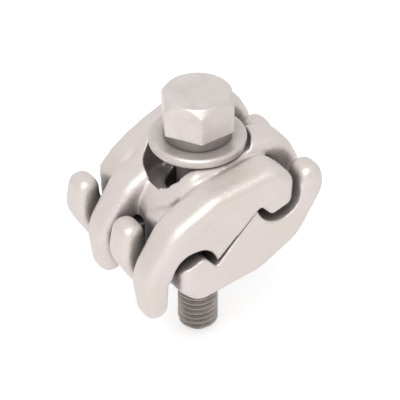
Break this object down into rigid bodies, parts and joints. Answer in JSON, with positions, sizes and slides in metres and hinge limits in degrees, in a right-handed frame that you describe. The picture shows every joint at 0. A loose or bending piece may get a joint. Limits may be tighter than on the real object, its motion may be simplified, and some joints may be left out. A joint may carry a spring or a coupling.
{
  "type": "parallel groove clamp",
  "caption": "Clamp that joins two parallel overhead conductors, gripping them in the grooves between a pair of interlocking cast aluminium halves drawn together by a bolt.",
  "frame": {"origin": "centre of the run conductor's groove, at the middle of the clamp's length", "axes": "+X across the clamp from the run groove to the tap groove, +Y along the conductors, +Z along the bolt towards its head"},
  "size_m": [0.0494, 0.0411, 0.069],
  "materials": {
    "cast_aluminium_upper": "satin, as cast",
    "cast_aluminium_lower": "satin, as cast",
    "galvanised_bolt": "satin, hot-dip galvanised",
    "galvanised_spring_washer": "satin, hot-dip galvanised",
    "galvanised_flat_washer": "satin, hot-dip galvanised",
    "galvanised_nut_washer": "satin, hot-dip galvanised",
    "galvanised_nut": "satin, hot-dip galvanised"
  },
  "bodies": {
    "lower_jaw": {"lower_casting": "cast_aluminium_lower", "nut_washer": "galvanised_nut_washer", "nut": "galvanised_nut"},
    "upper_jaw": {"upper_casting": "cast_aluminium_upper", "flat_washer": "galvanised_flat_washer", "spring_washer": "galvanised_spring_washer"},
    "bolt": {"bolt": "galvanised_bolt"}
  },
  "joints": [
    {"name": "jaw_travel", "type": "slide", "parent": "lower_jaw", "child": "upper_jaw", "axis": [0, 0, 1], "range_m": [0, 0.012]},
    {"name": "bolt_turn", "type": "hinge", "parent": "upper_jaw", "child": "bolt", "pos_m": [0.0127, 0, 0.006], "axis": [0, 0, 1], "range_deg": [0, 2880]}
  ],
  "couplings": [
    {"joint": "bolt_turn", "follows": "jaw_travel", "rad_per_m": 4188.8}
  ]
}
